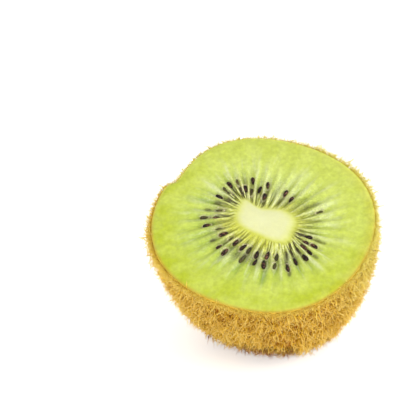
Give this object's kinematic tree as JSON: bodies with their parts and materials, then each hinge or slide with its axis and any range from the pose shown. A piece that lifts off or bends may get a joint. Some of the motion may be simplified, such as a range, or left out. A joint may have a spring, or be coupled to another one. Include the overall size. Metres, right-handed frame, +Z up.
{
  "type": "kiwi fruit half",
  "caption": "Half of a kiwi fruit, cut across and lying on its hairy rounded side with the green cut face and its ring of black seeds tilted up and forward.",
  "frame": {"origin": "middle of the small flat spot on which the fruit rests, at the level of the surface below it", "axes": "+Z up, away from the surface below; the cut face looks up and towards -Y, leaning 30 degrees from level; +X to the right of someone who looks at the cut face"},
  "size_m": [0.0539, 0.0505, 0.0483],
  "materials": {
    "pulp": "moist, translucent green pulp with a pale cream core and pale rays",
    "skin": "thin dry brown peel under a dense coat of golden brown hairs",
    "seeds": "smooth, wet, nearly black brown"
  },
  "bodies": {
    "root": {"kiwi_half": "pulp"}
  },
  "joints": []
}
